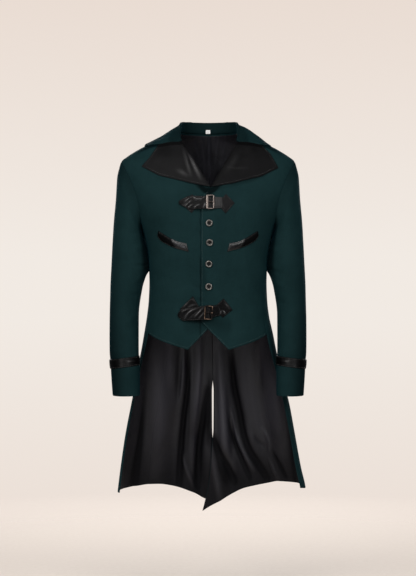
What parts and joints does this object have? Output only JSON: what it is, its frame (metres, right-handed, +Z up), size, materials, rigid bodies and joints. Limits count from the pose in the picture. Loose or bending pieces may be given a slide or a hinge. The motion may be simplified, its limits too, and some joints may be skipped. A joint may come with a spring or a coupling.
{
  "type": "tailcoat",
  "caption": "Hollow worn tailcoat in dark teal cloth with black leather lapels, strap and buckle fastenings, lined tails and turned-back wide collar.",
  "frame": {"origin": "where the wearer's shoulders carry the coat: on the mid plane, level with the shoulder seams beside the neck, halfway between chest and back", "axes": "+Z up, -Y out of the front, +X towards the wearer's left side"},
  "size_m": [0.5461, 0.3287, 1.1159],
  "materials": {
    "cloth": "dark teal suiting with a soft nap",
    "lining": "black satin lining",
    "leather": "black leather cloth with a soft wrinkled grain",
    "metal": "worn antique silver over brass",
    "label": "plain woven white"
  },
  "bodies": {
    "root": {"front_right": "cloth", "front_left": "cloth", "side_right": "cloth", "side_left": "cloth", "back_right": "cloth", "back_left": "cloth", "side_lining_right": "lining", "side_lining_left": "lining", "back_lining_right": "lining", "back_lining_left": "lining", "sleeve_top_right": "cloth", "sleeve_top_left": "cloth", "sleeve_under_right": "cloth", "sleeve_under_left": "cloth", "cuff_right": "cloth", "cuff_left": "cloth", "cuff_band_right": "leather", "cuff_band_left": "leather", "collar": "cloth", "neck_label": "label", "lapel_right": "leather", "lapel_left": "leather", "pocket_welt_right": "leather", "pocket_welt_left": "leather", "chest_patch_right": "leather", "chest_patch_left": "leather", "chest_strap_right": "leather", "chest_strap_left": "leather", "chest_buckle": "metal", "chest_buckle_prong": "metal", "waist_patch_right": "leather", "waist_patch_left": "leather", "waist_strap_right": "leather", "waist_strap_left": "leather", "waist_buckle": "metal", "waist_buckle_prong": "metal", "button_1": "metal", "button_2": "metal", "button_3": "metal", "button_4": "metal"}
  },
  "joints": []
}
